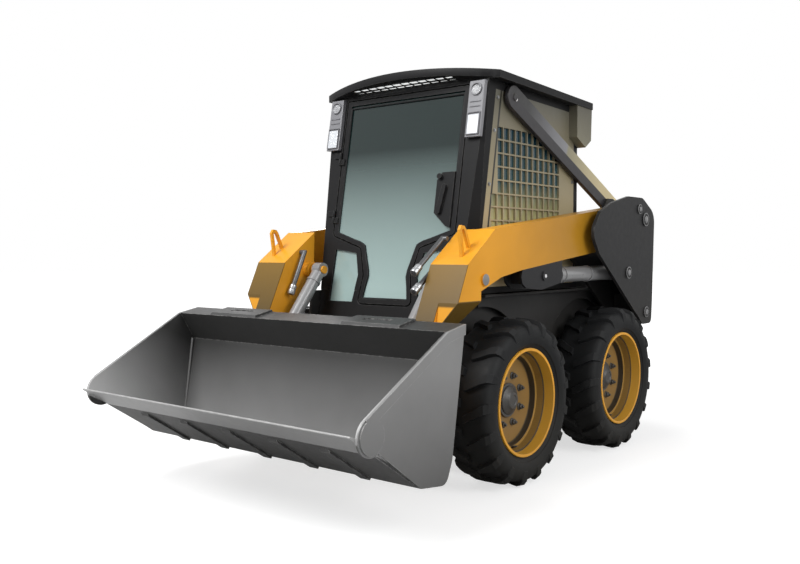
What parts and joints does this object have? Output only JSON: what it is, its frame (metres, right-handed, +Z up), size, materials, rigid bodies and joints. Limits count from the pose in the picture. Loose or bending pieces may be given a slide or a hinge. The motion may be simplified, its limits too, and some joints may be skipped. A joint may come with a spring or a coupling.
{
  "type": "skid steer loader",
  "caption": "Compact skid steer loader with a glazed cab, side lift arms, hydraulic cylinders and a wide rolled-back bucket.",
  "frame": {"origin": "on the ground under the middle of the machine's bounding box", "axes": "+X to the machine's left, -Y to its front (bucket), +Z up"},
  "size_m": [1.676, 3.254, 1.9735],
  "materials": {
    "frame_grey": "satin",
    "yellow_paint": "gloss",
    "cab_dark": "satin",
    "cab_tan": "satin",
    "glass": "gloss",
    "seat_vinyl": "satin",
    "plastic": "matte",
    "lamp_body": "gloss",
    "lens": "gloss",
    "steel": "satin",
    "bucket_steel": "satin",
    "cylinder_grey": "gloss",
    "rod_chrome": "gloss",
    "tyre": "matte"
  },
  "bodies": {
    "chassis": {"main_frame": "frame_grey", "axle_housings": "frame_grey", "side_frames": "frame_grey", "towers": "frame_grey", "engine_block": "frame_grey", "rear_body": "frame_grey", "rear_bumper": "frame_grey", "cab_frame": "cab_dark", "cab_tub": "cab_dark", "cab_sides": "cab_tan", "cab_roof": "cab_dark", "roof_box": "cab_tan", "cab_glass": "glass", "braces": "cab_tan", "seat_frame": "frame_grey", "seat_pads": "seat_vinyl", "consoles": "plastic", "headlamps": "lamp_body", "lamp_lenses": "lens"},
    "hood": {"hood": "yellow_paint"},
    "rear_door": {"rear_door": "cab_dark"},
    "cab_door": {"door_frame": "cab_dark", "door_glass": "glass", "door_handle": "cab_dark"},
    "lift_arms": {"lift_arm_left": "yellow_paint", "lift_arm_right": "yellow_paint", "arm_cross_tube": "yellow_paint", "hydraulic_lines": "steel", "lift_clevises": "cab_dark"},
    "attachment": {"coupler": "bucket_steel", "coupler_levers": "bucket_steel", "bucket": "bucket_steel", "cutting_edge": "bucket_steel"},
    "lift_barrel_left": {"lift_barrel_left": "cylinder_grey"},
    "lift_rod_left": {"lift_rod_left": "rod_chrome"},
    "lift_barrel_right": {"lift_barrel_right": "cylinder_grey"},
    "lift_rod_right": {"lift_rod_right": "rod_chrome"},
    "tilt_barrel_left": {"tilt_barrel_left": "cylinder_grey"},
    "tilt_rod_left": {"tilt_rod_left": "rod_chrome"},
    "tilt_barrel_right": {"tilt_barrel_right": "cylinder_grey"},
    "tilt_rod_right": {"tilt_rod_right": "rod_chrome"},
    "wheel_front_left": {"tyre_front_left": "tyre", "rim_front_left": "yellow_paint"},
    "wheel_front_right": {"tyre_front_right": "tyre", "rim_front_right": "yellow_paint"},
    "wheel_rear_left": {"tyre_rear_left": "tyre", "rim_rear_left": "yellow_paint"},
    "wheel_rear_right": {"tyre_rear_right": "tyre", "rim_rear_right": "yellow_paint"}
  },
  "joints": [
    {"name": "wheel_front_left_spin", "type": "hinge", "parent": "chassis", "child": "wheel_front_left", "pos_m": [0.63, -0.324, 0.3865], "axis": [1, 0, 0], "continuous": true},
    {"name": "wheel_front_right_spin", "type": "hinge", "parent": "chassis", "child": "wheel_front_right", "pos_m": [-0.63, -0.324, 0.3865], "axis": [1, 0, 0], "continuous": true},
    {"name": "wheel_rear_left_spin", "type": "hinge", "parent": "chassis", "child": "wheel_rear_left", "pos_m": [0.63, 0.674, 0.3865], "axis": [1, 0, 0], "continuous": true},
    {"name": "wheel_rear_right_spin", "type": "hinge", "parent": "chassis", "child": "wheel_rear_right", "pos_m": [-0.63, 0.674, 0.3865], "axis": [1, 0, 0], "continuous": true},
    {"name": "arm_lift", "type": "hinge", "parent": "chassis", "child": "lift_arms", "pos_m": [0, 0.994, 1.263], "axis": [-1, 0, 0], "range_deg": [0, 68]},
    {"name": "bucket_tilt", "type": "hinge", "parent": "lift_arms", "child": "attachment", "pos_m": [0, -0.945, 0.3], "axis": [1, 0, 0], "range_deg": [0, 135]},
    {"name": "lift_barrel_left_swing", "type": "hinge", "parent": "chassis", "child": "lift_barrel_left", "pos_m": [0.615, 0.769, 0.962], "axis": [-1, 0, 0], "range_deg": [0, 69]},
    {"name": "lift_rod_left_slide", "type": "slide", "parent": "lift_barrel_left", "child": "lift_rod_left", "axis": [0, -1, -0.0025], "range_m": [0, 0.42003]},
    {"name": "tilt_barrel_left_swing", "type": "hinge", "parent": "lift_arms", "child": "tilt_barrel_left", "pos_m": [0.38, -0.535, 0.985], "axis": [1, 0, 0], "range_deg": [0, 2.09]},
    {"name": "tilt_rod_left_slide", "type": "slide", "parent": "tilt_barrel_left", "child": "tilt_rod_left", "axis": [0, -0.6186, -0.7857], "range_m": [0, 0.4032]},
    {"name": "lift_barrel_right_swing", "type": "hinge", "parent": "chassis", "child": "lift_barrel_right", "pos_m": [-0.615, 0.769, 0.962], "axis": [-1, 0, 0], "range_deg": [0, 69]},
    {"name": "lift_rod_right_slide", "type": "slide", "parent": "lift_barrel_right", "child": "lift_rod_right", "axis": [0, -1, -0.0025], "range_m": [0, 0.42003]},
    {"name": "tilt_barrel_right_swing", "type": "hinge", "parent": "lift_arms", "child": "tilt_barrel_right", "pos_m": [-0.38, -0.535, 0.985], "axis": [1, 0, 0], "range_deg": [0, 2.09]},
    {"name": "tilt_rod_right_slide", "type": "slide", "parent": "tilt_barrel_right", "child": "tilt_rod_right", "axis": [0, -0.6186, -0.7857], "range_m": [0, 0.4032]},
    {"name": "cab_door_swing", "type": "hinge", "parent": "chassis", "child": "cab_door", "pos_m": [-0.4, -0.4011, 1.3], "axis": [0, -0.1705, -0.9854], "range_deg": [0, 70]},
    {"name": "rear_door_swing", "type": "hinge", "parent": "chassis", "child": "rear_door", "pos_m": [-0.39, 1.552, 0.835], "axis": [0, 0, 1], "range_deg": [0, 100]},
    {"name": "hood_lift", "type": "hinge", "parent": "chassis", "child": "hood", "pos_m": [0, 0.66, 1.235], "axis": [1, 0, 0], "range_deg": [0, 60]}
  ],
  "couplings": [
    {"joint": "wheel_rear_left_spin", "follows": "wheel_front_left_spin", "ratio": 1},
    {"joint": "wheel_rear_right_spin", "follows": "wheel_front_right_spin", "ratio": 1},
    {"joint": "lift_barrel_left_swing", "follows": "arm_lift", "ratio": 1.0146},
    {"joint": "lift_rod_left_slide", "follows": "arm_lift", "m_per_rad": 0.35383},
    {"joint": "tilt_barrel_left_swing", "follows": "bucket_tilt", "ratio": 0.01544},
    {"joint": "tilt_rod_left_slide", "follows": "bucket_tilt", "m_per_rad": 0.17108},
    {"joint": "lift_barrel_right_swing", "follows": "arm_lift", "ratio": 1.0146},
    {"joint": "lift_rod_right_slide", "follows": "arm_lift", "m_per_rad": 0.35383},
    {"joint": "tilt_barrel_right_swing", "follows": "bucket_tilt", "ratio": 0.01544},
    {"joint": "tilt_rod_right_slide", "follows": "bucket_tilt", "m_per_rad": 0.17108}
  ]
}
